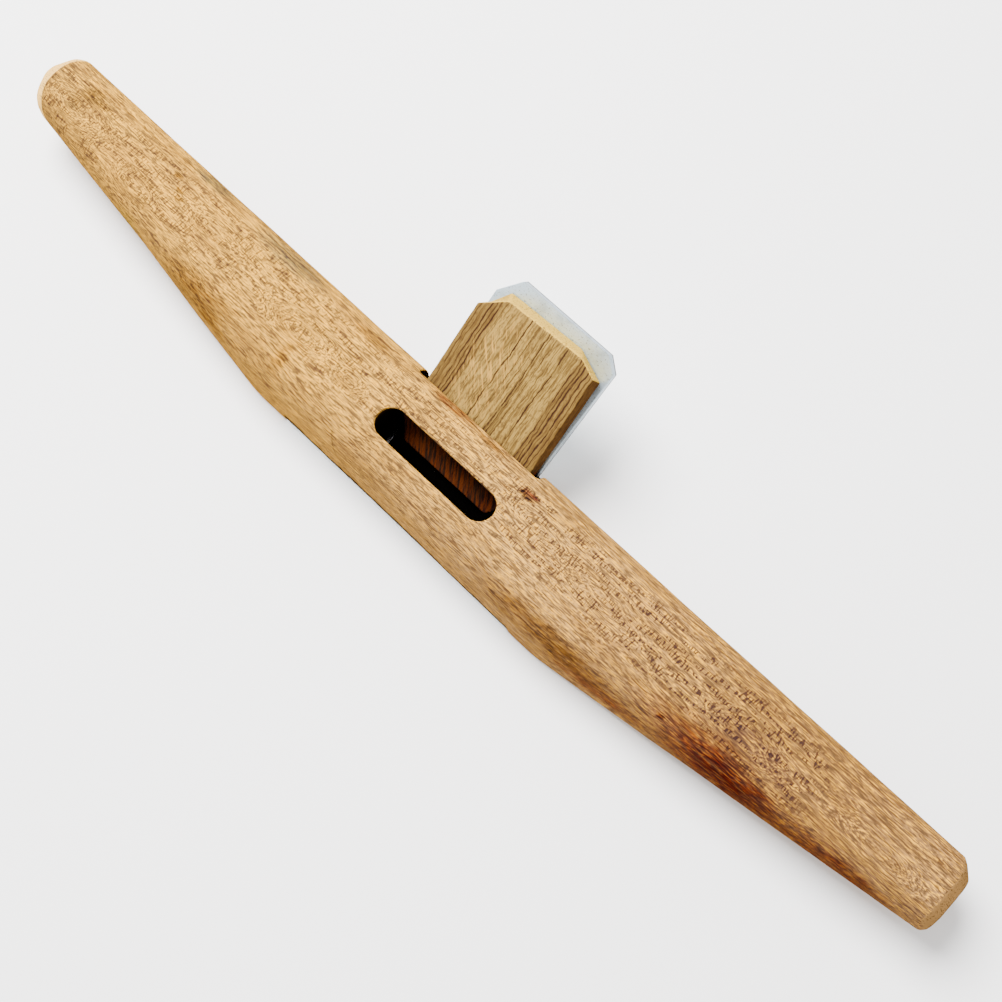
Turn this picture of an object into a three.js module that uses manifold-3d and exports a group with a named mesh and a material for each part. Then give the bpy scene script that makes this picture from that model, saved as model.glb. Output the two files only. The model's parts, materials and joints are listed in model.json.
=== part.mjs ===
// Two-handled wooden hand plane (spokeshave pattern): one hardwood bar with a steel sole plate
// screwed under its middle, and a steel iron held on a sloping bed by a wooden wedge.
// Millimetres. +X runs along the handles, +Y to the rear where the iron stands out, +Z up.
// The origin is on the working face of the sole plate, in the middle of the land ahead of the mouth.

import * as THREE from 'three';
import { mergeVertices } from 'three/addons/utils/BufferGeometryUtils.js';
import Module from 'manifold-3d';

// ---- driving dimensions ----

const gap = 0.3; // clearance between pieces that touch

// sole plate
const toeLand = 10; // flat steel ahead of the mouth, centred on the origin
const plateThickness = 1.6;
const plateLeft = -36.5;
const plateRight = 33;
const plateDepth = 27.4;
const mouthLength = 33.6;
const mouthDepth = 7.6;

// wooden body
const bodyLength = 270;
const bodyDepth = 27.4;
const bodyTop = 20;
const plateLip = 0.4; // the plate stands this far ahead of the wood
const soleRise = 0.1; // the wood around the plate stands this far above the working face
const leftBend = 47; // distance of each bend from the middle, where the handles begin
const rightBend = 40.5;
const bendBlend = 3; // length over which the straight middle turns into a handle
const frontTaper = 11.35; // how far each face draws in by the handle's end
const rearTaper = 0.66;
const frontBelly = 0.5; // how far the right handle's front swells out
const bellyLength = 150;
const bottomTaper = 7.65;
const topTaper = 0.5;
const shoulderRadius = 9.2; // rounding along the two top edges in the middle
const endRadius = 4.4; // and at the ends of the handles
const lowerRadius = 0.8; // rounding along the two bottom edges in the middle
const lowerBlend = 42; // length over which the bottom edges become as round as the top
const arrisShare = 0.4; // share of a rounded run that is a straight chamfer
// how each face runs in at the handle's end: length of the run, depth, and whether it is rounded
const leftEnd = {
  front: [4.8, 5, true], rear: [4.8, 5.5, true], bottom: [3, 3, true], top: [3.2, 2.1, false],
};
const rightEnd = {
  front: [0.8, 0.3, false], rear: [3.6, 2.6, false], bottom: [0.8, 0.3, false], top: [2.4, 2, false],
};
const rightLowerRadius = 2.6; // rounding along the bottom edges at the right end

// shavings slot through the top
const slotLength = 33.3;
const slotWidth = 7.05;
const slotX = 0.5;
const slotAhead = 1.9; // the slot's front wall stands this far ahead of the mouth
const slotUndercut = THREE.MathUtils.degToRad(20);
const undercutDepth = 11.5; // how far down from the top the undercut part of the slot reaches

// bed, mortise, iron and wedge
const bedAngle = THREE.MathUtils.degToRad(37);
const edgeAhead = 1.1; // mouth opening in front of the cutting edge
const mortiseWidth = 35.6;
const ironWidth = 32;
const ironLength = 50.6;
const ironThickness = 2.2;
const edgeBevel = THREE.MathUtils.degToRad(25);
const ironLeftCut = [4.1, 5.4]; // corner cuts at the iron's upper end, across it and along it
const ironRightCut = [3.2, 2.8];
const edgeLift = 0.1; // the edge at rest stands this far up the bed from the working face
const wedgeAngle = THREE.MathUtils.degToRad(4.2);
const wedgeRoot = 3.42; // wedge thickness, measured from the iron, carried on down to the edge line
const wedgeTip = 6.4; // distance of the wedge's lower end from the cutting edge, along the iron
const wedgeLeft = -15.5;
const wedgeRight = 15.7; // the right side draws in to wedgeTopRight above wedgeRightBend
const wedgeTopRight = 14.9;
const wedgeRightBend = 22;
const wedgeLowCut = 4.6; // height of the corner cuts at the lower end
const bedReach = 60; // the mortise's cutter runs this far up the bed, well clear of the body

// countersunk screws
const screwX = [-29, 25.5];
const screwY = [1.4, 16.4];
const screwHeadRadius = 3;
const screwShankRadius = 1.5;
const screwLength = 13;
const screwTipLength = 3;
const headSink = 0.1; // the heads sit just inside the working face
const recessSize = [3.2, 0.8, 0.8];

const bodyFront = -toeLand / 2 + plateLip;
const bodyRear = bodyFront + bodyDepth;
const bodyBottom = soleRise;
const mouthFront = toeLand / 2;
const slotFront = mouthFront - slotAhead;
const edgeY = mouthFront + edgeAhead;

// ---- materials ----

function paint(color, roughness, metalness) {
  return new THREE.MeshStandardMaterial({ color, roughness, metalness });
}

const bodyWood = paint(0xc79a5f, 0.6, 0);
const wedgeWood = paint(0xa9824f, 0.65, 0);
const ironSteel = paint(0xb4bcc2, 0.35, 1);
const plateSteel = paint(0xc2c6c8, 0.3, 1);
const screwSteel = paint(0xa8a9a5, 0.4, 1);

// ---- solids ----

const wasm = await Module();
wasm.setup();

function toSolid(geometry) {
  const bare = geometry.clone();
  bare.deleteAttribute('normal');
  bare.deleteAttribute('uv');
  const merged = mergeVertices(bare, 1e-4);
  return new wasm.Manifold(new wasm.Mesh({
    numProp: 3,
    vertProperties: new Float32Array(merged.attributes.position.array),
    triVerts: new Uint32Array(merged.index.array),
  }));
}

function toGeometry(solid) {
  const mesh = solid.getMesh();
  const geometry = new THREE.BufferGeometry();
  geometry.setAttribute('position', new THREE.BufferAttribute(mesh.vertProperties, 3));
  geometry.setIndex(new THREE.BufferAttribute(mesh.triVerts, 1));
  geometry.computeVertexNormals();
  return geometry;
}

function mesh(name, geometry, material) {
  const piece = new THREE.Mesh(geometry, material);
  piece.name = name;
  return piece;
}

function box(low, high) {
  const size = high.map((value, i) => value - low[i]);
  const centre = high.map((value, i) => (value + low[i]) / 2);
  return new THREE.BoxGeometry(...size).translate(...centre);
}

function polygon(points) {
  return new THREE.Shape(points.map(([a, b]) => new THREE.Vector2(a, b)));
}

// An outline in the Y-Z plane, run along X.
function sideExtrusion(points, low, high) {
  const geometry = new THREE.ExtrudeGeometry(polygon(points), { depth: high - low, bevelEnabled: false });
  const toSide = new THREE.Matrix4().makeBasis(
    new THREE.Vector3(0, 1, 0), new THREE.Vector3(0, 0, 1), new THREE.Vector3(1, 0, 0));
  return geometry.applyMatrix4(toSide).translate(low, 0, 0);
}

// An outline in the X-Y plane, run along Z.
function planExtrusion(points, low, high) {
  const geometry = new THREE.ExtrudeGeometry(polygon(points), { depth: high - low, bevelEnabled: false });
  return geometry.translate(0, 0, low);
}

// ---- wooden body ----

const cornerPoints = 12;
const ringPoints = 4 * cornerPoints;

// Distance past the bend of a handle, eased over the blend.
function pastBend(x) {
  const past = Math.abs(x) - (x < 0 ? leftBend : rightBend);
  if (past <= -bendBlend) return 0;
  if (past >= bendBlend) return past;
  return (past + bendBlend) ** 2 / (4 * bendBlend);
}

function endInset(x, [length, depth, rounded]) {
  const run = Math.min(1, Math.max(0, (Math.abs(x) - bodyLength / 2) / length + 1));
  return depth * (rounded ? THREE.MathUtils.lerp(1 - Math.sqrt(1 - run * run), run, arrisShare) : run);
}

function section(x) {
  const past = pastBend(x);
  const taper = past / (bodyLength / 2 - (x < 0 ? leftBend : rightBend));
  const belly = x > 0 ? frontBelly * Math.sin(Math.PI * x / bellyLength) : 0;
  const end = x < 0 ? leftEnd : rightEnd;
  const front = bodyFront + frontTaper * taper - belly + endInset(x, end.front);
  const rear = bodyRear - rearTaper * taper - endInset(x, end.rear);
  const bottom = bodyBottom + bottomTaper * taper + endInset(x, end.bottom);
  const top = bodyTop - topTaper * taper - endInset(x, end.top);
  const largest = Math.min(rear - front, top - bottom) / 2 - 0.05;
  const upper = Math.min(THREE.MathUtils.lerp(shoulderRadius, endRadius, taper), largest);
  const lowerEnd = x < 0 ? upper : rightLowerRadius;
  const lower = THREE.MathUtils.lerp(lowerRadius, lowerEnd, Math.min(1, past / lowerBlend) ** 2);
  return { front, rear, bottom, top, upper, lower: Math.min(lower, largest) };
}

// Point number i of the rounded section at x; the corners are rear-top, front-top, front-bottom, rear-bottom.
function sectionPoint(x, i) {
  const { front, rear, bottom, top, upper, lower } = section(x);
  const corner = Math.floor(i / cornerPoints);
  const angle = (corner + (i % cornerPoints) / (cornerPoints - 1)) * Math.PI / 2;
  const radius = corner < 2 ? upper : lower;
  const centreY = corner === 0 || corner === 3 ? rear - radius : front + radius;
  const centreZ = corner < 2 ? top - radius : bottom + radius;
  return [centreY + radius * Math.cos(angle), centreZ + radius * Math.sin(angle)];
}

function handleStations(bend, runs) {
  const half = bodyLength / 2;
  const stations = [];
  for (let x = 12; x < bend - bendBlend; x += 12) stations.push(x);
  for (let i = 0; i <= 6; i++) stations.push(bend + bendBlend * (i / 3 - 1));
  for (let x = bend + bendBlend + 9; x < half - 6; x += 9) stations.push(x);
  return [...stations, ...runs.map((run) => half - run), half];
}

function bodyStations() {
  const turns = [0, 15, 30, 45, 60, 75].map((turn) => THREE.MathUtils.degToRad(turn));
  const leftRuns = turns.map((turn) => leftEnd.rear[0] * (1 - Math.sin(turn)));
  leftRuns.push(leftEnd.top[0]);
  leftRuns.sort((a, b) => b - a);
  const rightRuns = [rightEnd.rear[0], rightEnd.top[0], rightEnd.front[0]];
  const left = handleStations(leftBend, leftRuns).map((x) => -x).reverse();
  return [...left, 0, ...handleStations(rightBend, rightRuns)];
}

// A closed cylinder whose rings are moved onto the body's sections.
function bodyBlank() {
  const stations = bodyStations();
  const last = stations.length - 1;
  const halfStep = Math.PI / ringPoints;
  const blank = new THREE.CylinderGeometry(1, 1, 1, ringPoints, last, false, halfStep);
  const position = blank.attributes.position;
  for (let n = 0; n < position.count; n++) {
    const across = position.getZ(n);
    const up = position.getX(n);
    const x = stations[Math.round((position.getY(n) + 0.5) * last)];
    const { front, rear, bottom, top } = section(x);
    let point = [(front + rear) / 2, (bottom + top) / 2];
    if (Math.hypot(across, up) > 0.5) {
      const turn = (Math.atan2(up, across) + 2 * Math.PI) % (2 * Math.PI);
      point = sectionPoint(x, Math.round((turn - halfStep) / (2 * halfStep)) % ringPoints);
    }
    position.setXYZ(n, x, ...point);
  }
  return toSolid(blank);
}

// Points of the bed's own frame: along the bed from the cutting edge, and square to it.
function bedToBody(along, off) {
  return [
    edgeY + along * Math.cos(bedAngle) - off * Math.sin(bedAngle),
    along * Math.sin(bedAngle) + off * Math.cos(bedAngle),
  ];
}

function wedgeFace(along) {
  return wedgeRoot + along * Math.tan(wedgeAngle);
}

// The sloping through-mortise: bed below, underside of the bridge above.
function mortise() {
  const faceSlope = Math.tan(bedAngle + wedgeAngle);
  const [farY, farZ] = bedToBody(bedReach, wedgeFace(bedReach) + gap);
  const corner = [slotFront, farZ - (farY - slotFront) * faceSlope];
  const bedOffset = -ironThickness - gap;
  return toSolid(sideExtrusion([
    [slotFront, -1],
    bedToBody(-4, bedOffset),
    bedToBody(bedReach, bedOffset),
    [farY, farZ],
    corner,
  ], -mortiseWidth / 2, mortiseWidth / 2));
}

function stadium(length, width) {
  const reach = (length - width) / 2;
  const outline = new THREE.Shape();
  outline.absarc(reach, 0, width / 2, -Math.PI / 2, Math.PI / 2, false);
  outline.absarc(-reach, 0, width / 2, Math.PI / 2, Math.PI * 1.5, false);
  return outline;
}

// The shavings slot: straight down to the mouth, and undercut to the rear beneath the bridge.
function shavingsSlot() {
  const slotY = slotFront + slotWidth / 2;
  const outline = stadium(slotLength, slotWidth);
  const clearTop = 3;
  const straight = new THREE.ExtrudeGeometry(outline, {
    depth: bodyTop + clearTop + 1, bevelEnabled: false, curveSegments: 12,
  }).translate(slotX, slotY, -1);
  const undercut = new THREE.ExtrudeGeometry(outline, {
    depth: undercutDepth, bevelEnabled: false, curveSegments: 12,
  }).translate(0, 0, -undercutDepth);
  const lean = new THREE.Matrix4().set(
    1, 0, 0, slotX,
    0, 1, -Math.tan(slotUndercut), slotY,
    0, 0, 1, bodyTop,
    0, 0, 0, 1);
  return toSolid(straight).add(toSolid(undercut.applyMatrix4(lean)));
}

function screwPlaces() {
  return screwY.flatMap((y) => screwX.map((x) => [x, y]));
}

// The shallow rebate across the sole that the plate is let into.
function rebate() {
  const high = [plateRight + gap, bodyRear + 1, plateThickness + gap];
  return toSolid(box([plateLeft - gap, bodyFront - 1, -1], high));
}

function makeBody() {
  let solid = bodyBlank().subtract(mortise()).subtract(shavingsSlot()).subtract(rebate());
  for (const [x, y] of screwPlaces()) {
    const depth = screwLength + gap;
    const pilot = new THREE.CylinderGeometry(screwShankRadius + gap, screwShankRadius + gap, depth + 1, 20)
      .rotateX(Math.PI / 2)
      .translate(x, y, (depth - 1) / 2);
    solid = solid.subtract(toSolid(pilot));
  }
  return mesh('body', toGeometry(solid), bodyWood);
}

// ---- sole plate and its screws ----

const headDepth = screwHeadRadius - screwShankRadius;

function makeSolePlate() {
  const above = plateThickness + 1;
  const rear = plateDepth - toeLand / 2;
  const plate = toSolid(box([plateLeft, -toeLand / 2, 0], [plateRight, rear, plateThickness]));
  const mouthLow = [-mouthLength / 2, mouthFront, -1];
  const mouth = toSolid(box(mouthLow, [mouthLength / 2, mouthFront + mouthDepth, above]));
  let solid = plate.subtract(mouth);
  const wide = screwHeadRadius + gap;
  const narrow = wide - headDepth;
  const sink = [
    [0, -1], [wide, -1], [wide, headSink], [narrow, headDepth + headSink], [narrow, above], [0, above],
  ];
  for (const [x, y] of screwPlaces()) {
    const profile = sink.map(([radius, height]) => new THREE.Vector2(radius, height));
    const hole = new THREE.LatheGeometry(profile, 28).rotateX(Math.PI / 2).translate(x, y, 0);
    solid = solid.subtract(toSolid(hole));
  }
  return mesh('sole_plate', toGeometry(solid), plateSteel);
}

function makeScrew(name, x, y) {
  const shank = screwShankRadius;
  const face = headSink;
  const profile = [
    [0, face], [screwHeadRadius, face], [shank, headDepth + face],
    [shank, screwLength - screwTipLength], [0.2, screwLength], [0, screwLength],
  ].map(([radius, height]) => new THREE.Vector2(radius, height));
  let solid = toSolid(new THREE.LatheGeometry(profile, 28).rotateX(Math.PI / 2));
  const [long, wide, deep] = recessSize;
  for (const turn of [0, Math.PI / 2]) {
    const arm = box([-long / 2, -wide / 2, face - 1], [long / 2, wide / 2, face + deep]).rotateZ(turn);
    solid = solid.subtract(toSolid(arm));
  }
  const screw = mesh(name, toGeometry(solid), screwSteel);
  screw.position.set(x, y, 0);
  return screw;
}

// ---- iron and wedge, in the bed's frame: Y runs up the bed from the cutting edge, Z is square to it ----

function makeIron() {
  const half = ironWidth / 2;
  const outline = [
    [-half, -1], [half, -1], [half, ironLength - ironRightCut[1]], [half - ironRightCut[0], ironLength],
    [ironLeftCut[0] - half, ironLength], [-half, ironLength - ironLeftCut[1]],
  ];
  const heel = ironThickness / Math.tan(edgeBevel);
  const top = ironLength + 1;
  const profile = [[edgeLift, 0], [top, 0], [top, -ironThickness], [heel + edgeLift, -ironThickness]];
  const solid = toSolid(planExtrusion(outline, -ironThickness - 1, 1))
    .intersect(toSolid(sideExtrusion(profile.reverse(), -half - 1, half + 1)));
  return mesh('iron', toGeometry(solid), ironSteel);
}

// The wedge's outline on its front and on its back face; only the cut corners at its upper end differ.
function wedgeOutline(front) {
  const lowCut = wedgeTip + wedgeLowCut;
  const lower = [[-12, wedgeTip], [12.5, wedgeTip], [wedgeRight, lowCut], [wedgeRight, wedgeRightBend]];
  const upper = front
    ? [[wedgeTopRight, 46.4], [10.4, 48.4], [-9.6, 47.3], [wedgeLeft, 42.4]]
    : [[wedgeTopRight, 44.9], [7.3, 47.9], [-12.5, 47.2], [wedgeLeft, 42.4]];
  return [...lower, ...upper, [wedgeLeft, lowCut]];
}

// The back outline is extruded, then its far side is moved onto the front outline and the sloping face.
function makeWedge() {
  const back = wedgeOutline(false);
  const front = wedgeOutline(true);
  const block = planExtrusion(back, 0, 1);
  const position = block.attributes.position;
  for (let n = 0; n < position.count; n++) {
    const i = back.findIndex(([x, y]) => Math.hypot(x - position.getX(n), y - position.getY(n)) < 1e-3);
    const onFront = position.getZ(n) > 0.5;
    const [x, along] = onFront ? front[i] : back[i];
    position.setXYZ(n, x, along, onFront ? wedgeFace(along) : gap);
  }
  return mesh('wedge', toGeometry(toSolid(block)), wedgeWood);
}

// ---- assembly ----

const group = new THREE.Group();
group.name = 'hand_plane';
group.add(makeBody(), makeSolePlate());
screwPlaces().forEach(([x, y], i) => group.add(makeScrew(`sole_screw_${i + 1}`, x, y)));

const bed = new THREE.Group();
bed.position.set(0, edgeY, 0);
bed.rotation.x = bedAngle;
bed.add(makeIron(), makeWedge());
group.add(bed);

export default group;
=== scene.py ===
import json
import math

import bmesh
import bpy
import numpy as np
from mathutils import Matrix, Vector, noise


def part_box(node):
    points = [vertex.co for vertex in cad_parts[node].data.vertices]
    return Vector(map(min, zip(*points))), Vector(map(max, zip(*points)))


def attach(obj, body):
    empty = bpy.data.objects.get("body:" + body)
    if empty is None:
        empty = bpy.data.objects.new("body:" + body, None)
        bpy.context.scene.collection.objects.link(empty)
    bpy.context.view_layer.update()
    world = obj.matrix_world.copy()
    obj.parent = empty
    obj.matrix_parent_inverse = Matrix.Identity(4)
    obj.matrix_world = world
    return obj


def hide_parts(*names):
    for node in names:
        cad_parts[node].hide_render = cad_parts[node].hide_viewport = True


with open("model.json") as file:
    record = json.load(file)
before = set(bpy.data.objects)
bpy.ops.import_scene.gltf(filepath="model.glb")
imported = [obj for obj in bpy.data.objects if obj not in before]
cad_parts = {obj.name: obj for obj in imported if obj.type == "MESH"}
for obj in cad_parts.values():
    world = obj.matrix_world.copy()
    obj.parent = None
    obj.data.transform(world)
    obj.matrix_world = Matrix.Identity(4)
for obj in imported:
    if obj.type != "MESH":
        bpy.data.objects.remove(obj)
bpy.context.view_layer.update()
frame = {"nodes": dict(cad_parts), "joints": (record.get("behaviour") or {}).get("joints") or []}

MM = 0.001

# ---- places and sizes, from the frame ----

BODY_LOW, BODY_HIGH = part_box("body")
PLATE_LOW, PLATE_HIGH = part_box("sole_plate")
BED = next(j for j in frame["joints"] if j["name"] == "iron_slide")["axis"]
BED_ANGLE = math.atan2(BED[2], BED[1])

HALF_LENGTH = BODY_HIGH.x
LEFT_BEND = 47 * MM
RIGHT_BEND = 40.5 * MM
BEND_BLEND = 3 * MM
FRONT_TAPER = 11.35 * MM
FRONT_BELLY = 0.5 * MM
BELLY_LENGTH = 150 * MM
REAR_TAPER = 0.66 * MM
BOTTOM_TAPER = 7.65 * MM
TOP_TAPER = 0.5 * MM
SHOULDER = 9.2 * MM
LOWER_EDGE = 0.8 * MM
LOWER_BLEND = 42 * MM
END_RADIUS = 4.4 * MM
ARRIS_SHARE = 0.4
# How each face runs in at the handle's end: length and depth in millimetres, and whether it is rounded.
LEFT_END = {
    "front": (4.8, 5, True), "rear": (4.8, 5.5, True),
    "bottom": (3, 3, True), "top": (3.2, 2.1, False),
}
RIGHT_END = {
    "front": (0.8, 0.3, False), "rear": (3.6, 2.6, False),
    "bottom": (0.8, 0.3, False), "top": (2.4, 2, False),
}
RIGHT_LOWER_RADIUS = 2.6 * MM

EDGE_Y = 6.1 * MM
SLOT_X = 0.5 * MM
SLOT_LENGTH = 33.3 * MM
SLOT_WIDTH = 7.05 * MM
SLOT_FRONT = 3.1 * MM
SLOT_UNDERCUT = math.radians(20)
MORTISE_WIDTH = 35.6 * MM
IRON_THICKNESS = 2.2 * MM
GAP = 0.3 * MM
WEDGE_SLOPE = math.tan(math.radians(4.2))
WEDGE_ROOT = 3.42 * MM
UNDERCUT_DEPTH = 11.5 * MM
CUTTER_REACH = 60 * MM
OVERCUT = 1 * MM  # how far a cutter runs past the face it cuts through

CORNER_POINTS = 20
STATION_STEP = 1.5 * MM
END_STEP_DEGREES = 9
STADIUM_POINTS = 24
RADIUS_MARGIN = 0.05 * MM

# Mesh detail: size of the remeshed faces, and hand-worked waves as (size, depth).
BODY_VOXEL = 0.42 * MM
BODY_WAVES = ((16 * MM, 0.1 * MM), (5 * MM, 0.03 * MM), (1.6 * MM, 0.012 * MM))
BODY_KEPT_SHARE = 0.48
WEDGE_VOXEL = 0.28 * MM
WEDGE_WAVES = ((9 * MM, 0.07 * MM), (2 * MM, 0.02 * MM))
SMOOTH_FACTOR = 0.5
SMOOTH_ROUNDS = 2
WALL_MARGIN = 0.25 * MM
WALL_EXTRA_DEPTH = 4
SKIN_DEPTH = 0.2

STEEL_EDGE = {"iron": 0.12 * MM, "plate": 0.15 * MM, "screw": 0.06 * MM}
BEVEL_LIMIT = math.radians(28)
WELD_REACH = 0.001 * MM


def on_bed(x, along, off):
    """A point given along the bed from the cutting edge, and square to it."""
    return Vector((
        x,
        EDGE_Y + along * math.cos(BED_ANGLE) - off * math.sin(BED_ANGLE),
        along * math.sin(BED_ANGLE) + off * math.cos(BED_ANGLE),
    ))


# ---- mesh helpers ----

def new_object(name, verts, faces):
    mesh = bpy.data.meshes.new(name)
    mesh.from_pydata([tuple(v) for v in verts], [], faces)
    mesh.update()
    obj = bpy.data.objects.new(name, mesh)
    bpy.context.scene.collection.objects.link(obj)
    return obj


def face_outward(obj):
    bm = bmesh.new()
    bm.from_mesh(obj.data)
    bmesh.ops.recalc_face_normals(bm, faces=bm.faces)
    bm.to_mesh(obj.data)
    bm.free()


def prism(name, outline_low, outline_high):
    """A closed solid between two outlines of the same number of points."""
    n = len(outline_low)
    sides = [(i, (i + 1) % n, n + (i + 1) % n, n + i) for i in range(n)]
    faces = [tuple(reversed(range(n))), tuple(range(n, 2 * n))] + sides
    obj = new_object(name, list(outline_low) + list(outline_high), faces)
    face_outward(obj)
    return obj


def apply_modifier(obj, kind, **settings):
    modifier = obj.modifiers.new(kind.title(), kind)
    for key, value in settings.items():
        setattr(modifier, key, value)
    bpy.context.view_layer.objects.active = obj
    bpy.ops.object.modifier_apply(modifier=modifier.name)


def cut(obj, cutter):
    apply_modifier(obj, "BOOLEAN", operation="DIFFERENCE", solver="EXACT", object=cutter)
    bpy.data.objects.remove(cutter)


# ---- wooden body ----

def past_bend(x):
    past = abs(x) - (LEFT_BEND if x < 0 else RIGHT_BEND)
    if past <= -BEND_BLEND:
        return 0.0
    if past >= BEND_BLEND:
        return past
    return (past + BEND_BLEND) ** 2 / (4 * BEND_BLEND)


def end_inset(x, shape):
    length, depth, rounded = shape
    run = min(1.0, max(0.0, (abs(x) - HALF_LENGTH) / (length * MM) + 1))
    if rounded:
        run = ARRIS_SHARE * run + (1 - ARRIS_SHARE) * (1 - math.sqrt(1 - run * run))
    return depth * MM * run


def section(x):
    past = past_bend(x)
    taper = past / (HALF_LENGTH - (LEFT_BEND if x < 0 else RIGHT_BEND))
    belly = FRONT_BELLY * math.sin(math.pi * x / BELLY_LENGTH) if x > 0 else 0.0
    end = LEFT_END if x < 0 else RIGHT_END
    front = BODY_LOW.y + FRONT_TAPER * taper - belly + end_inset(x, end["front"])
    rear = BODY_HIGH.y - REAR_TAPER * taper - end_inset(x, end["rear"])
    bottom = BODY_LOW.z + BOTTOM_TAPER * taper + end_inset(x, end["bottom"])
    top = BODY_HIGH.z - TOP_TAPER * taper - end_inset(x, end["top"])
    largest = min(rear - front, top - bottom) / 2 - RADIUS_MARGIN
    upper = min(SHOULDER + (END_RADIUS - SHOULDER) * taper, largest)
    lower_end = upper if x < 0 else RIGHT_LOWER_RADIUS
    lower = LOWER_EDGE + (lower_end - LOWER_EDGE) * min(1.0, past / LOWER_BLEND) ** 2
    return front, rear, bottom, top, upper, min(lower, largest)


def section_ring(x):
    front, rear, bottom, top, upper, lower = section(x)
    centres = (
        (rear - upper, top - upper, upper), (front + upper, top - upper, upper),
        (front + lower, bottom + lower, lower), (rear - lower, bottom + lower, lower),
    )
    ring = []
    for corner, (y, z, radius) in enumerate(centres):
        for k in range(CORNER_POINTS):
            angle = (corner + k / (CORNER_POINTS - 1)) * math.pi / 2
            ring.append((x, y + radius * math.cos(angle), z + radius * math.sin(angle)))
    return ring


def body_blank():
    count = 4 * CORNER_POINTS
    left_run = LEFT_END["rear"][0] * MM
    turns = [math.radians(turn) for turn in range(90, 0, -END_STEP_DEGREES)]
    left = [left_run * (1 - math.sin(turn)) - HALF_LENGTH for turn in turns]
    left = sorted([*left, LEFT_END["top"][0] * MM - HALF_LENGTH])
    right = [HALF_LENGTH - RIGHT_END[side][0] * MM for side in ("rear", "top", "front")]
    inner = np.arange(left_run - HALF_LENGTH, right[0] - STATION_STEP / 3, STATION_STEP)
    stations = [*left, *inner, *right, HALF_LENGTH]
    verts = [p for x in stations for p in section_ring(float(x))]
    faces = [tuple(reversed(range(count)))]
    for s in range(len(stations) - 1):
        for i in range(count):
            a, b = s * count + i, s * count + (i + 1) % count
            faces.append((a, b, b + count, a + count))
    last = (len(stations) - 1) * count
    faces.append(tuple(range(last, last + count)))
    obj = new_object("body_wood", verts, faces)
    face_outward(obj)
    return obj


def stadium(length, width):
    reach = (length - width) / 2
    outline = []
    for side in (1, -1):
        for k in range(STADIUM_POINTS + 1):
            angle = -side * math.pi / 2 + math.pi * k / STADIUM_POINTS
            outline.append((side * reach + width / 2 * math.cos(angle), width / 2 * math.sin(angle)))
    return outline


def slot_cutters():
    outline = stadium(SLOT_LENGTH, SLOT_WIDTH)
    middle = SLOT_FRONT + SLOT_WIDTH / 2
    top = BODY_HIGH.z
    straight = [
        [(SLOT_X + x, middle + y, z) for x, y in outline] for z in (-OVERCUT, top + 3 * OVERCUT)
    ]
    lean = math.tan(SLOT_UNDERCUT)
    under = [
        [(SLOT_X + x, middle + y + lean * (top - z), z) for x, y in outline]
        for z in (top - UNDERCUT_DEPTH, top + OVERCUT / 5)
    ]
    return prism("slot_cutter", *straight), prism("undercut_cutter", *under)


def mortise_cutter():
    slope = math.tan(BED_ANGLE + math.atan(WEDGE_SLOPE))
    far = on_bed(0, CUTTER_REACH, WEDGE_ROOT + CUTTER_REACH * WEDGE_SLOPE + GAP)
    below = -IRON_THICKNESS - GAP
    low, high = on_bed(0, -4 * OVERCUT, below), on_bed(0, CUTTER_REACH, below)
    corner_z = far.z - (far.y - SLOT_FRONT) * slope
    profile = [(SLOT_FRONT, -OVERCUT), low[1:], high[1:], far[1:], (SLOT_FRONT, corner_z)]
    sides = (-MORTISE_WIDTH / 2, MORTISE_WIDTH / 2)
    return prism("mortise_cutter", *[[(x, y, z) for y, z in profile] for x in sides])


def skin_depth(point):
    """How far a point lies below the uncut bar's skin; the cut walls lie deep, the outside near 0."""
    x, y, z = point
    front, rear, bottom, top, upper, lower = section(x)
    middle_z = (bottom + top) / 2
    radius = upper if z > middle_z else lower
    past_y = abs(y - (front + rear) / 2) - ((rear - front) / 2 - radius)
    past_z = abs(z - middle_z) - ((top - bottom) / 2 - radius)
    outside = math.hypot(max(past_y, 0), max(past_z, 0)) + min(max(past_y, past_z), 0) - radius
    return min(-outside, HALF_LENGTH - abs(x))


def cavity(point):
    """Depth below the skin in millimetres; the mortise's walls count as deep right up to the rim."""
    depth = skin_depth(point) / MM
    along = (point[1] - EDGE_Y) * math.cos(BED_ANGLE) + point[2] * math.sin(BED_ANGLE)
    off = point[2] * math.cos(BED_ANGLE) - (point[1] - EDGE_Y) * math.sin(BED_ANGLE)
    roof = WEDGE_ROOT + along * WEDGE_SLOPE + GAP + WALL_MARGIN
    floor = -IRON_THICKNESS - GAP - WALL_MARGIN
    walls = abs(point[0]) < MORTISE_WIDTH / 2 + WALL_MARGIN and floor < off < roof
    return depth + WALL_EXTRA_DEPTH if walls and depth > SKIN_DEPTH else depth


def hand_worked(obj, waves):
    """Moves the surface a little in and out, as rasping and handling leave it; waves are (size, depth)."""
    mesh = obj.data
    places = np.empty(len(mesh.vertices) * 3, dtype=np.float32)
    normals = np.empty(len(mesh.vertices) * 3, dtype=np.float32)
    mesh.vertices.foreach_get("co", places)
    mesh.vertex_normals.foreach_get("vector", normals)
    places = places.reshape(-1, 3)
    shifts = np.zeros((len(places), 1), dtype=np.float32)
    for number, (size, depth) in enumerate(waves):
        offset = Vector((17.3 * number, 5.1, 2.7))
        shifts[:, 0] += [depth * noise.noise(Vector(place) / size + offset) for place in places]
    mesh.vertices.foreach_set("co", (places + normals.reshape(-1, 3) * shifts).ravel())
    mesh.update()


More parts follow.
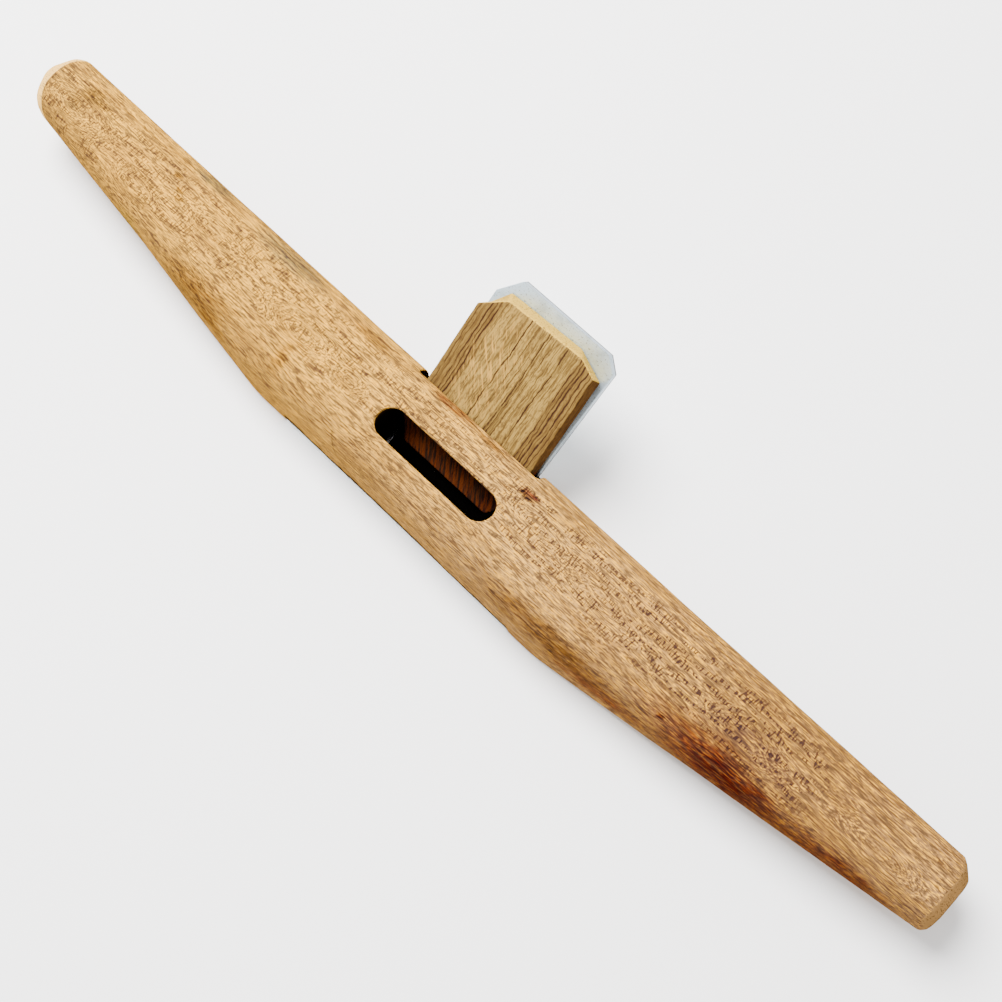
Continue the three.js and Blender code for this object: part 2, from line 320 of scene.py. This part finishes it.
def refine(obj, voxel, waves):
    """Even faces with slightly rounded edges and a hand-worked surface."""
    apply_modifier(obj, "REMESH", mode="VOXEL", voxel_size=voxel, use_smooth_shade=True)
    apply_modifier(obj, "SMOOTH", factor=SMOOTH_FACTOR, iterations=SMOOTH_ROUNDS)
    hand_worked(obj, waves)


def rebate_cutter():
    """The shallow rebate that the sole plate is let into."""
    low, high = PLATE_LOW.x - GAP, PLATE_HIGH.x + GAP
    near, far = BODY_LOW.y - OVERCUT, BODY_HIGH.y + OVERCUT
    outline = [(low, near), (high, near), (high, far), (low, far)]
    return prism("rebate_cutter", *[[(x, y, z) for x, y in outline] for z in (-OVERCUT, PLATE_HIGH.z + GAP)])


def make_body():
    body = body_blank()
    for cutter in (mortise_cutter(), rebate_cutter(), *slot_cutters()):
        cut(body, cutter)
    refine(body, BODY_VOXEL, BODY_WAVES)
    apply_modifier(body, "DECIMATE", ratio=BODY_KEPT_SHARE)
    places = np.empty(len(body.data.vertices) * 3, dtype=np.float32)
    body.data.vertices.foreach_get("co", places)
    depths = [cavity(place) for place in places.reshape(-1, 3).tolist()]
    body.data.attributes.new("cavity", "FLOAT", "POINT").data.foreach_set("value", depths)
    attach(body, "stock")
    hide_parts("body")
    return body


# ---- iron and wedge ----

BED_FRAME = Matrix.Translation((0, EDGE_Y, 0)) @ Matrix.Rotation(BED_ANGLE, 4, "X")


def make_wedge():
    """The wedge's own outline, with its arrises broken and its faces left a little uneven."""
    source = frame["nodes"]["wedge"]
    mesh = source.data.copy()
    mesh.transform(BED_FRAME.inverted() @ source.matrix_world)
    wedge = bpy.data.objects.new("wedge_wood", mesh)
    bpy.context.scene.collection.objects.link(wedge)
    refine(wedge, WEDGE_VOXEL, WEDGE_WAVES)
    wedge.matrix_world = BED_FRAME
    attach(wedge, "holding_wedge")
    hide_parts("wedge")
    return wedge


def soften(obj, width, segments=2):
    """Rounds the sharp edges; the faces are joined first, because they come in with split corners."""
    weld = obj.modifiers.new("Weld", "WELD")
    weld.merge_threshold = WELD_REACH
    modifier = obj.modifiers.new("Bevel", "BEVEL")
    modifier.width = width
    modifier.segments = segments
    modifier.limit_method = "ANGLE"
    modifier.angle_limit = BEVEL_LIMIT


# ---- materials ----

def srgb(*values):
    """Linear colour from the 0 to 255 values seen on a screen."""
    return tuple(v / 255 / 12.92 if v < 10.3 else ((v / 255 + 0.055) / 1.055) ** 2.4 for v in values)


# The renderer's film-like tone curve, as two matrices around a curve of the light's logarithm.
TONE_IN = np.array(((0.8566, 0.0951, 0.0483), (0.1373, 0.7612, 0.1014), (0.1119, 0.0768, 0.8113)))
TONE_OUT = np.array(((1.1969, -0.0980, -0.0990), (-0.0529, 1.1519, -0.0990), (-0.0530, -0.0980, 1.1511)))
TONE_CURVE = (15.5, -40.14, 31.96, -6.868, 0.4298, 0.1191, -0.00232)
TONE_STOPS = 16.5
TONE_BLACK = -12.47
STUDIO_LIGHT = 3.5  # light that falls on a level surface
FILM_TRIM = (0.92, 1.15, 1.2)  # makes up for the coarse curve
DARKEST = 0.006
BUMP_STRENGTH = 0.6
PORE_DEPTH = 0.12 * MM
BRUSHED_DEPTH = 0.03 * MM
BARE_WOOD = (214, 178, 132)


def seen(*values):
    """Surface colour that shows these 0 to 255 screen values under the studio light."""
    steps = np.linspace(0, 1, 1001)
    encoded = np.linalg.solve(TONE_OUT, np.array(values) / 255)
    light = 2 ** (np.interp(encoded, np.polyval(TONE_CURVE, steps), steps) * TONE_STOPS + TONE_BLACK)
    color = np.linalg.solve(TONE_IN, light) / STUDIO_LIGHT * FILM_TRIM
    return tuple(float(v) for v in np.clip(color, DARKEST, 0.95))


class Graph:
    """A node material; places in it are millimetres in the object's own frame."""

    def __init__(self, name):
        self.material = bpy.data.materials.new(name)
        self.material.use_nodes = True
        self.tree = self.material.node_tree
        self.shader = self.tree.nodes["Principled BSDF"]
        coords = self.node("ShaderNodeTexCoord")
        self.normal = coords.outputs["Normal"]
        self.place = self.vector("SCALE", coords.outputs["Object"], scale=1 / MM)

    def turn_to_bed(self):
        """Measures places from the cutting edge along the bed, for a node kept in the body's frame."""
        self.place = self.vector("SUBTRACT", self.place, (0, EDGE_Y / MM, 0))
        self.place = self.rotate(self.place, "X_AXIS", -BED_ANGLE)
        self.normal = self.rotate(self.normal, "X_AXIS", -BED_ANGLE)

    def rotate(self, vector, axis, angle):
        node = self.node("ShaderNodeVectorRotate", rotation_type=axis)
        self.put(node.inputs["Vector"], vector)
        node.inputs["Angle"].default_value = angle
        return node.outputs[0]

    def node(self, kind, **settings):
        node = self.tree.nodes.new(kind)
        for key, value in settings.items():
            setattr(node, key, value)
        return node

    def put(self, socket, value):
        if isinstance(value, bpy.types.NodeSocket):
            self.tree.links.new(value, socket)
        elif isinstance(value, tuple) and len(socket.default_value) == 4:
            socket.default_value = (*value, 1)
        else:
            socket.default_value = value

    def math(self, operation, a, b=0.0):
        node = self.node("ShaderNodeMath", operation=operation)
        self.put(node.inputs[0], a)
        self.put(node.inputs[1], b)
        return node.outputs[0]

    def times(self, a, b):
        return self.math("MULTIPLY", a, b)

    def plus(self, a, b):
        return self.math("ADD", a, b)

    def minus(self, a, b):
        return self.math("SUBTRACT", a, b)

    def vector(self, operation, a, b=(0, 0, 0), scale=1.0):
        node = self.node("ShaderNodeVectorMath", operation=operation)
        self.put(node.inputs[0], a)
        self.put(node.inputs[1], b)
        if operation == "SCALE":
            node.inputs["Scale"].default_value = scale
        return node.outputs["Value" if operation == "LENGTH" else "Vector"]

    def split(self, vector):
        node = self.node("ShaderNodeSeparateXYZ")
        self.put(node.inputs[0], vector)
        return node.outputs

    def join(self, x, y, z):
        node = self.node("ShaderNodeCombineXYZ")
        for socket, value in zip(node.inputs, (x, y, z)):
            self.put(socket, value)
        return node.outputs[0]

    def noise(self, vector, detail, roughness, stretch=(1, 1, 1), scale=1.0):
        """Noise with about stretch waves to the millimetre along each axis."""
        node = self.node("ShaderNodeTexNoise")
        self.put(node.inputs["Vector"], self.vector("MULTIPLY", vector, stretch))
        node.inputs["Scale"].default_value = scale
        node.inputs["Detail"].default_value = detail
        node.inputs["Roughness"].default_value = roughness
        return node.outputs["Fac"]

    def band(self, value, low, high, start=0.0, end=1.0):
        """start below low, end above high, and a smooth step between."""
        node = self.node("ShaderNodeMapRange", interpolation_type="SMOOTHSTEP")
        if low > high:
            low, high, start, end = high, low, end, start
        for socket, setting in zip(node.inputs, (value, low, high, start, end)):
            self.put(socket, setting)
        return node.outputs[0]

    def mix(self, a, b, amount, blend="MIX"):
        node = self.node("ShaderNodeMix", data_type="RGBA", blend_type=blend)
        self.put(node.inputs["Factor"], amount)
        self.put(node.inputs[6], a)
        self.put(node.inputs[7], b)
        return node.outputs[2]

    def ramp(self, value, stops):
        node = self.node("ShaderNodeValToRGB")
        elements = node.color_ramp.elements
        while len(elements) < len(stops):
            elements.new(0.5)
        for element, (position, color) in zip(elements, stops):
            element.position = position
            element.color = (*color, 1)
        self.put(node.inputs[0], value)
        return node.outputs[0]

    def spot(self, place, centre, reach, inner=0.2):
        """1 at the centre of a soft ellipsoid and 0 outside it."""
        away = self.vector("SUBTRACT", place, centre)
        away = self.vector("DIVIDE", away, reach)
        return self.band(self.vector("LENGTH", away), 1.0, inner)

    def finish(self, color, roughness, height=None, depth=0.0, metallic=0.0):
        self.put(self.shader.inputs["Base Color"], color)
        self.put(self.shader.inputs["Roughness"], roughness)
        self.shader.inputs["Metallic"].default_value = metallic
        self.shader.inputs["Specular IOR Level"].default_value = 0.5 if metallic else 0.0
        if height is not None:
            bump = self.node("ShaderNodeBump")
            bump.inputs["Strength"].default_value = BUMP_STRENGTH
            bump.inputs["Distance"].default_value = depth
            self.put(bump.inputs["Height"], height)
            self.put(self.shader.inputs["Normal"], bump.outputs[0])
        return self.material


def stain(*values):
    """What a stain multiplies by, so that the bare wood turns to these screen values."""
    return tuple(a / b for a, b in zip(seen(*values), seen(*BARE_WOOD)))


# Stains and marks on the bar: centre and reach in millimetres, the colour they leave, strength.
STAINS = (
    ((-119, 16, 16), (7, 3.2, 8), (166, 122, 82), 0.9),
    ((-122, 12, 17), (3.5, 5, 7), (186, 146, 104), 0.8),
    ((-90.5, 15.2, 19), (2.2, 0.8, 4), (150, 100, 62), 0.8),
    ((-87.5, 12.9, 19), (2.0, 0.8, 4), (140, 92, 54), 0.9),
    ((-85.5, 11.4, 19), (1.8, 0.9, 4), (150, 100, 62), 0.8),
    ((-84, 20, 17), (9, 2.4, 6), (150, 126, 102), 0.8),
    ((-57, 19, 18), (15, 4, 6), (166, 138, 108), 0.85),
    ((-66, 0.4, 14), (17, 4.4, 8), (172, 122, 80), 0.85),
    ((-60, -1.8, 12), (8, 3.2, 5), (178, 128, 84), 0.8),
    ((-92, 3, 12), (10, 3.6, 6), (186, 154, 98), 0.8),
    ((-41, 1.8, 18), (2.4, 6, 4), (188, 140, 92), 0.7),
    ((-30, 18, 18), (7, 2.2, 4), (176, 128, 84), 0.6),
    ((-6.5, 19, 18), (9, 1.7, 4), (160, 100, 50), 1.0),
    ((5, 18.4, 18), (6, 1.0, 4), (170, 118, 76), 0.8),
    ((19.5, 15.6, 19), (3.4, 1.7, 4), (160, 96, 50), 1.0),
    ((20, 14.7, 19), (1.8, 0.9, 3), (84, 48, 34), 1.0),
    ((18, 15, 19), (0.9, 1.0, 3), (96, 54, 36), 1.0),
    ((40, -2.6, 14), (26, 3.4, 7), (178, 128, 78), 0.95),
    ((52, -1.6, 10), (24, 4.4, 7), (180, 112, 54), 1.0),
    ((82, 2.2, 12), (30, 6.2, 12), (182, 106, 42), 1.0),
    ((86, 3.0, 13), (20, 4.8, 9), (184, 112, 40), 0.95),
    ((115, 3.4, 12), (24, 3.6, 9), (186, 120, 62), 0.95),
    ((87, 8, 18), (18, 6, 6), (190, 148, 110), 0.8),
    ((70, 0.6, 17), (1.3, 0.8, 2), (150, 80, 26), 0.9),
    ((51, -3.4, 16.5), (1.4, 0.8, 1.6), (150, 86, 34), 0.9),
)

# Where the figure closes into nested arcs: centre, reach, and how far the layers are pushed up.
FIGURE_EYES = (
    ((-122, 10, 18), (17, 7, 30), 5.0),
    ((-96, 7, 18), (9, 3.4, 30), 2.6),
    ((-72, 12, 18), (16, 4, 30), -2.4),
    ((-42, 8, 18), (15, 4.6, 30), 3.6),
    ((-26, 7, 18), (7, 3.5, 30), 2.4),
    ((26, 12, 18), (14, 4, 30), -2.6),
    ((48, 9, 18), (18, 5, 30), 3.2),
    ((86, 9, 18), (15, 5.5, 30), 3.4),
    ((118, 10, 18), (14, 4, 30), 2.6),
)

WOOD_DUST = (0.013, 0.018, 0.011)  # pale veil of fine dust in the bare wood


def wood_figure(g):
    """The figure's own places: along the bar, up through the growth layers, and to the rear."""
    x, y, z = g.split(g.place)
    wander = g.noise(g.place, 2, 0.5, (0.025, 0.11, 0.11))
    ripple = g.noise(g.place, 2, 0.5, (0.35, 0.9, 0.9))
    layer = g.times(g.minus(wander, 0.5), 6.0)
    for centre, reach, push in FIGURE_EYES:
        eye = g.spot(g.place, centre, reach, 0.0)
        layer = g.plus(layer, g.times(eye, push))
    layer = g.plus(layer, g.times(ripple, 0.3))
    return g.join(x, g.plus(layer, z), y)


def clean_wood(g, figure, pores, dash, small_dash, fibre, mottle):
    """Pale wood whose tint changes from end to end, with dark pores and lines and a veil of dust."""
    half = HALF_LENGTH / MM
    along = g.math("DIVIDE", g.plus(g.split(g.place)[0], half), 2 * half)
    color = g.ramp(along, (
        (0.0, seen(216, 182, 132)), (0.1, seen(226, 194, 142)), (0.38, seen(229, 199, 150)),
        (0.58, seen(222, 192, 152)), (0.7, seen(216, 182, 142)), (0.8, seen(202, 162, 120)),
        (0.9, seen(200, 158, 118)), (1.0, seen(206, 170, 134)),
    ))
    light = g.band(pores, 0.52, 0.66)
    broad = g.noise(figure, 2, 0.5, (0.05, 0.45, 0.35))
    long_lines = g.noise(figure, 1, 0.5, (0.16, 3.1, 2.2))
    color = g.mix(color, seen(240, 214, 164), g.times(light, 0.7))
    color = g.mix(color, seen(196, 150, 98), g.band(broad, 0.5, 0.36, 0.0, 0.4))
    color = g.mix(color, seen(205, 160, 112), g.band(mottle, 0.55, 0.7, 0.0, 0.35))
    color = g.mix(color, seen(136, 84, 46), g.times(dash, 0.76))
    color = g.mix(color, seen(138, 88, 52), g.times(small_dash, 0.66))
    color = g.mix(color, (0.72, 0.68, 0.66), g.band(fibre, 0.62, 0.36, 0.0, 0.6), "MULTIPLY")
    color = g.mix(color, seen(150, 96, 56), g.band(long_lines, 0.40, 0.34, 0.0, 0.85))
    return g.mix(color, WOOD_DUST, 1.0, "ADD")


def add_ticks_and_lines(g, color):
    """Purple-brown ticks in rows across the grain, and straight brown lines near the rear edge."""
    x, y, _ = g.split(g.place)
    rays = g.noise(g.place, 0, 0.5, (2.3, 0.6, 0.4))
    rows = g.noise(g.place, 1, 0.5, (0.13, 0.75, 0.5))
    tick = g.times(g.band(rays, 0.52, 0.58), g.band(rows, 0.46, 0.54))
    right = g.band(x, -30, 75, 0.7, 1.0)
    fading = g.band(x, 108, 98)
    upper = g.times(g.band(y, 2, 6), g.band(y, 19, 16))
    tick = g.times(tick, g.times(right, g.times(fading, upper)))
    color = g.mix(color, seen(108, 72, 66), g.times(tick, 0.9))
    lines = g.noise(g.place, 1, 0.5, (0.05, 2.2, 2.2))
    rear = g.times(g.band(lines, 0.42, 0.36), g.band(y, 15, 19))
    return g.mix(color, seen(160, 112, 74), g.times(rear, 0.5))


def add_stains(g, color, moved):
    place = g.vector("ADD", g.place, g.join(moved, g.times(moved, 0.35), moved))
    streaky = g.band(g.noise(g.place, 2, 0.5, (0.18, 1.6, 1.6)), 0.32, 0.6, 0.55, 1.0)
    for centre, reach, tint, strength in STAINS:
        amount = g.times(g.spot(place, centre, reach, 0.35), strength)
        color = g.mix(color, stain(*tint), g.times(amount, streaky), "MULTIPLY")
    return color


def add_front_shade_and_scratch(g, color, moved):
    """The front face is darkened as painted shade, and one dark scratch slants down it."""
    x, y, z = g.split(g.place)
    # painted shade: faces turned to the front are darkened
    front_shade = g.band(g.split(g.normal)[1], -0.3, -0.85)
    color = g.mix(color, (0.74, 0.75, 0.98), front_shade, "MULTIPLY")
    slant = g.plus(g.times(g.plus(x, 14.5), 0.86), g.times(g.minus(z, 4.8), 0.5))
    scratch = g.band(g.math("ABSOLUTE", g.plus(slant, g.times(moved, 0.1))), 0.35, 0.05)
    scratch = g.times(scratch, g.band(y, -1.5, -3))
    scratch = g.times(scratch, g.band(x, -24, -21))
    return g.mix(color, seen(120, 90, 62), g.times(scratch, 0.5))


def add_end_grain(g, color):
    """Cream end grain at the left end; tan at the right, with a dark lower edge."""
    x, y, z = g.split(g.place)
    end_pores = g.band(g.noise(g.place, 1, 0.5, (0.6, 3.5, 3.5)), 0.42, 0.36)
    outward = g.split(g.normal)[0]
    across = g.math("DIVIDE", g.minus(y, 14.4), 7.7)
    rim_line = g.plus(g.times(g.times(across, across), 2.6), -131.7)
    left_end = g.band(g.minus(x, rim_line), 0.12, -0.12)
    right_end = g.times(g.band(outward, 0.25, 0.4), g.band(x, 129, 130))
    cream = g.mix(seen(233, 212, 178), seen(190, 158, 116), g.times(end_pores, 0.6))
    tan = g.mix(seen(200, 166, 130), seen(150, 112, 78), g.times(end_pores, 0.8))
    color = g.mix(color, cream, left_end)
    color = g.mix(color, tan, right_end)
    low_edge = g.times(right_end, g.band(z, 9.2, 8.6))
    return g.mix(color, seen(112, 58, 32), g.times(low_edge, 0.8))


def add_painted_shade(g, color, wobble):
    """Painted shade in the slot and mortise, near black deeper in, and a painted shadow line where the wood
    meets the steel plate.
    """
    x, y, z = g.split(g.place)
    attribute = g.node("ShaderNodeAttribute", attribute_name="cavity")
    depth = g.plus(attribute.outputs["Fac"], g.times(g.minus(wobble, 0.5), 0.8))
    ends = g.times(g.band(x, -120, -110), g.band(x, 120, 110))
    # painted shade: the wood inside the slot and mortise is darkened, nearly black deeper in
    inside = g.times(g.band(depth, 0.55, 1.0), ends)
    color = g.mix(color, (0.02, 0.008, 0.003), inside)
    color = g.mix(color, (0.004, 0.003, 0.002), g.times(g.band(depth, 1.0, 3.0), ends))
    # painted shadow: a dark band low on the front face, just above the steel plate, broken up by noise
    left, right = PLATE_LOW.x / MM, PLATE_HIGH.x / MM
    rim = g.times(g.band(x, left - 0.6, left), g.band(y, -2, -4))
    rim = g.times(rim, g.band(x, right + 0.6, right))
    rim = g.times(rim, g.band(g.plus(z, g.times(wobble, 3.0)), 5.6, 5.2))
    return g.mix(color, seen(44, 34, 24), g.times(rim, 0.9))


def body_wood():
    g = Graph("body_wood")
    figure = wood_figure(g)
    pores = g.noise(figure, 1.5, 0.5, (0.34, 4.6, 3.6))
    fine = g.noise(figure, 1.0, 0.5, (0.8, 8.5, 7.0))
    dash = g.band(pores, 0.47, 0.40)
    small_dash = g.band(fine, 0.45, 0.36)
    fibre = g.noise(g.place, 2, 0.6, (0.12, 3.6, 3.6))
    mottle = g.noise(g.place, 3, 0.55, (0.04, 0.12, 0.12))
    wobble = g.noise(g.place, 3, 0.6, (0.25, 0.6, 0.6))
    moved = g.times(g.minus(wobble, 0.5), 5.0)

    color = clean_wood(g, figure, pores, dash, small_dash, fibre, mottle)
    color = add_ticks_and_lines(g, color)
    color = add_stains(g, color, moved)
    color = add_front_shade_and_scratch(g, color, moved)
    color = add_end_grain(g, color)
    color = add_painted_shade(g, color, wobble)

    height = g.minus(g.times(fibre, 0.35), g.times(dash, 0.8))
    height = g.minus(height, g.times(small_dash, 0.4))
    roughness = g.plus(g.times(mottle, 0.25), 0.45)
    return g.finish(color, roughness, height, PORE_DEPTH)


# Dark lines along the wedge: place across it and half width in millimetres, and strength.
WEDGE_LINES = (
    (-14.5, 0.27, 0.72), (-13.6, 0.24, 0.60), (-12.4, 0.27, 1.00), (-11.5, 0.24, 0.84), (-10.7, 0.31, 1.00),
    (-9.6, 0.17, 0.48), (-3.2, 0.26, 1.00), (-1.1, 0.20, 0.72), (0.4, 0.17, 0.54), (1.8, 0.27, 1.00),
    (2.4, 0.17, 0.84), (3.7, 0.24, 0.72), (5.1, 0.17, 0.60), (6.9, 0.26, 1.00), (8.3, 0.14, 0.42),
    (10.7, 0.26, 0.96), (11.5, 0.22, 0.84), (12.2, 0.31, 1.00), (13.4, 0.27, 1.00), (14.3, 0.20, 0.72),
)

SAW_LEAN = math.radians(-28)
SCUFF_LEAN = math.radians(52)
WEDGE_DUST = (0.004, 0.005, 0.007)
BURIED_LENGTH = 21.5  # how far up the bed the wedge and iron carry painted shade, in millimetres
# painted shade for steel inside the body
STEEL_SHADE = (0.006, 0.005, 0.004)


def wedge_lines(g, across):
    """How strong the dark lines are, with breaks along them."""
    breaks = g.noise(g.place, 2, 0.6, (1.4, 0.28, 1.0))
    lines = 0.0
    for centre, width, dark in WEDGE_LINES:
        near = g.band(g.math("ABSOLUTE", g.minus(across, centre)), width, width * 0.2, 0.0, dark)
        lines = g.math("MAXIMUM", lines, near)
    return g.times(lines, g.band(breaks, 0.34, 0.48, 0.5, 1.0))


def wedge_wood():
    g = Graph("wedge_wood")
    x, along, off = g.split(g.place)
    bend = g.noise(g.place, 2, 0.5, (0.12, 0.07, 0.1))
    wave = g.noise(g.place, 2, 0.5, (0.5, 0.45, 0.4))
    across = g.plus(x, g.times(g.minus(bend, 0.5), 1.4))
    across = g.plus(across, g.times(g.minus(wave, 0.5), 0.7))
    fibre = g.noise(g.join(across, along, off), 2, 0.6, (3.2, 0.16, 2.0))
    flecks = g.noise(g.place, 2, 0.6, (2.6, 0.9, 2.0))
    broad = g.noise(g.join(across, along, off), 2, 0.5, (0.3, 0.05, 0.3))

    color = g.mix(seen(208, 180, 134), seen(156, 116, 70), g.band(fibre, 0.4, 0.66, 0.0, 0.85))
    color = g.mix(color, seen(150, 112, 64), g.band(broad, 0.5, 0.72, 0.0, 0.5))
    color = g.mix(color, seen(138, 96, 52), g.band(flecks, 0.52, 0.64, 0.0, 0.55))
    sides = g.math("MAXIMUM", g.band(across, -8.8, -10.4), g.band(across, 9.6, 11))
    color = g.mix(color, seen(158, 116, 68), g.times(sides, 0.55))

    # pale slanting scuffs, left of the middle
    scuff = g.noise(g.rotate(g.place, "Z_AXIS", SCUFF_LEAN), 2, 0.6, (0.22, 2.4, 0.3))
    scuffed = g.times(g.band(scuff, 0.5, 0.68), g.spot(g.place, (-5, 33, 6), (9, 17, 30), 0.3))
    color = g.mix(color, seen(226, 198, 154), g.times(scuffed, 0.75))

    color = g.mix(color, WEDGE_DUST, 1.0, "ADD")

    lines = wedge_lines(g, across)
    color = g.mix(color, seen(92, 48, 14), g.times(lines, 0.92))

    # painted shade: the right side is darker
    side = g.band(g.split(g.normal)[0], 0.35, 0.7)
    color = g.mix(color, (0.5, 0.42, 0.5), side, "MULTIPLY")

    # sawn end faces are paler
    end = g.band(g.split(g.normal)[1], 0.35, 0.6)
    dots = g.band(g.noise(g.place, 1, 0.5, (2.6, 2.6, 2.6)), 0.42, 0.34)
    pale = g.mix(seen(226, 203, 156), seen(166, 126, 78), g.times(dots, 0.75))
    color = g.mix(color, pale, end)

    # painted shade on the part inside the body, with slanting saw marks in it
    buried = g.band(g.plus(along, g.times(wave, 1.2)), BURIED_LENGTH + 1, BURIED_LENGTH - 1)
    saw = g.noise(g.rotate(g.place, "Z_AXIS", SAW_LEAN), 2, 0.6, (1.6, 0.12, 0.3))
    shaded_saw_marks = g.mix(seen(176, 106, 48), seen(84, 44, 18), g.band(saw, 0.4, 0.6))
    color = g.mix(color, shaded_saw_marks, g.times(buried, 0.95))

    height = g.minus(g.times(fibre, 0.5), g.times(lines, 0.8))
    roughness = g.plus(g.times(flecks, 0.2), 0.5)
    return g.finish(color, roughness, height, PORE_DEPTH)


def steel(name, light, dark, roughness, grain, buried=None):
    """Bare steel with fine grinding marks along one direction, specks and faint clouding.

    buried is given for the iron only. The iron carries painted shade on its front up to that far along the
    bed, and painted shade on its narrow sides. Any other piece carries painted shade where it lies inside
    the mortise.
    """
    g = Graph(name)
    if buried:
        g.turn_to_bed()
    brushed = g.noise(g.place, 2, 0.6, grain)
    cloud = g.noise(g.place, 3, 0.6, scale=0.25)
    specks = g.noise(g.place, 2, 0.6, scale=2.2)
    color = g.mix(light, dark, g.band(cloud, 0.45, 0.75, 0.0, 0.6))
    color = g.mix(color, dark, g.band(brushed, 0.5, 0.75, 0.0, 0.5))
    color = g.mix(color, srgb(90, 88, 84), g.band(specks, 0.58, 0.7, 0.0, 0.7))
    if buried:
        _, along, off = g.split(g.place)
        # painted shade: the iron's narrow sides are darkened
        side = g.band(g.math("ABSOLUTE", g.split(g.normal)[2]), 0.97, 0.7)
        rim = g.times(side, g.band(off, -1.4, -1.7, 0.6, 1.0))
        color = g.mix(color, srgb(46, 50, 54), rim)
        # painted shade on the iron's front and sides where they lie inside the body
        along = g.plus(along, g.times(cloud, 2.0))
        sideways = g.band(g.math("ABSOLUTE", g.split(g.normal)[0]), 0.4, 0.6)
        front = g.math("MAXIMUM", g.band(off, -0.5, -0.2), sideways)
        shade_amount = g.times(g.band(along, buried + 1, buried - 1), front)
        color = g.mix(color, STEEL_SHADE, shade_amount)
    else:
        # painted shade on the plate's top where it lies inside the mortise
        x, y, z = g.split(g.place)
        sheltered = g.times(g.band(z, 0.0, 0.2), g.band(y, 21.8, 21.2))
        sheltered = g.times(sheltered, g.band(y, 1.0, 2.0))
        sheltered = g.times(sheltered, g.band(g.math("ABSOLUTE", x), 20, 18.5))
        color = g.mix(color, STEEL_SHADE, sheltered)
    rough = g.plus(g.times(brushed, 0.22), g.times(specks, 0.12))
    return g.finish(color, g.plus(rough, roughness), brushed, BRUSHED_DEPTH, 1.0)


def dress(obj, mat):
    obj.data.materials.clear()
    obj.data.materials.append(mat)


# ---- stage, light and camera ----

FLOOR_REACH = 3.0
FLOOR_DROP = 0.05 * MM
FLOOR_COLOR = (0.95, 0.94, 0.935)
FLOOR_ROUGHNESS = 0.9
SKY_STRENGTH = 1.3
KEY_PLACE = Vector((-0.35, 0.1, 0.7))
KEY_SIZE = 0.5
KEY_POWER = 27

CAMERA_AZIMUTH = math.radians(44.76)
CAMERA_ELEVATION = math.radians(71.05)
CAMERA_ROLL = math.radians(-0.5)
CAMERA_DISTANCE = 309.08 * MM
CAMERA_TARGET = Vector((14.93 * MM, 11.9 * MM, 14 * MM))
CAMERA_LENS = 52.1727  # focal length in millimetres, for a sensor 36 mm wide
SENSOR_WIDTH = 36


def make_floor():
    size = FLOOR_REACH
    corners = [(-size, -size, 0), (size, -size, 0), (size, size, 0), (-size, size, 0)]
    floor = new_object("floor", corners, [(0, 1, 2, 3)])
    floor.location.z = -FLOOR_DROP
    dress(floor, Graph("floor_paper").finish(FLOOR_COLOR, FLOOR_ROUGHNESS))


def make_lights():
    world = bpy.data.worlds.new("studio")
    world.use_nodes = True
    world.node_tree.nodes["Background"].inputs["Color"].default_value = (1, 1, 1, 1)
    world.node_tree.nodes["Background"].inputs["Strength"].default_value = SKY_STRENGTH
    bpy.context.scene.world = world
    data = bpy.data.lights.new("key", "AREA")
    data.shape = "DISK"
    data.size = KEY_SIZE
    data.energy = KEY_POWER
    light = bpy.data.objects.new("key", data)
    light.location = KEY_PLACE
    light.rotation_euler = (-KEY_PLACE).to_track_quat("-Z", "Y").to_euler()
    bpy.context.scene.collection.objects.link(light)


def make_camera():
    azimuth, elevation, roll = CAMERA_AZIMUTH, CAMERA_ELEVATION, CAMERA_ROLL
    level = math.cos(elevation)
    back = Vector((math.sin(azimuth) * level, -math.cos(azimuth) * level, math.sin(elevation)))
    right = Vector((math.cos(azimuth), math.sin(azimuth), 0))
    up = back.cross(right)
    turned_right = right * math.cos(roll) + up * math.sin(roll)
    turned_up = up * math.cos(roll) - right * math.sin(roll)
    data = bpy.data.cameras.new("camera")
    data.sensor_width = SENSOR_WIDTH
    data.lens = CAMERA_LENS
    data.clip_start = 0.01
    camera = bpy.data.objects.new("camera", data)
    turn = Matrix((turned_right, turned_up, back)).transposed()
    camera.matrix_world = Matrix.Translation(CAMERA_TARGET + back * CAMERA_DISTANCE) @ turn.to_4x4()
    bpy.context.scene.collection.objects.link(camera)
    bpy.context.scene.camera = camera


dress(make_body(), body_wood())
dress(make_wedge(), wedge_wood())
iron = frame["nodes"]["iron"]
dress(iron, steel("iron_steel", (0.7, 0.84, 0.93), (0.36, 0.45, 0.51), 0.25, (0.4, 5.0, 5.0), BURIED_LENGTH))
soften(iron, STEEL_EDGE["iron"])
plate = frame["nodes"]["sole_plate"]
dress(plate, steel("plate_steel", (0.8, 0.81, 0.8), (0.62, 0.63, 0.62), 0.2, (0.2, 4.0, 4.0)))
soften(plate, STEEL_EDGE["plate"])
screw_steel = steel("screw_steel", (0.55, 0.55, 0.54), (0.4, 0.4, 0.39), 0.25, (3.0, 3.0, 3.0))
for number in range(1, 5):
    screw = frame["nodes"][f"sole_screw_{number}"]
    dress(screw, screw_steel)
    soften(screw, STEEL_EDGE["screw"], 1)
make_floor()
make_lights()
make_camera()
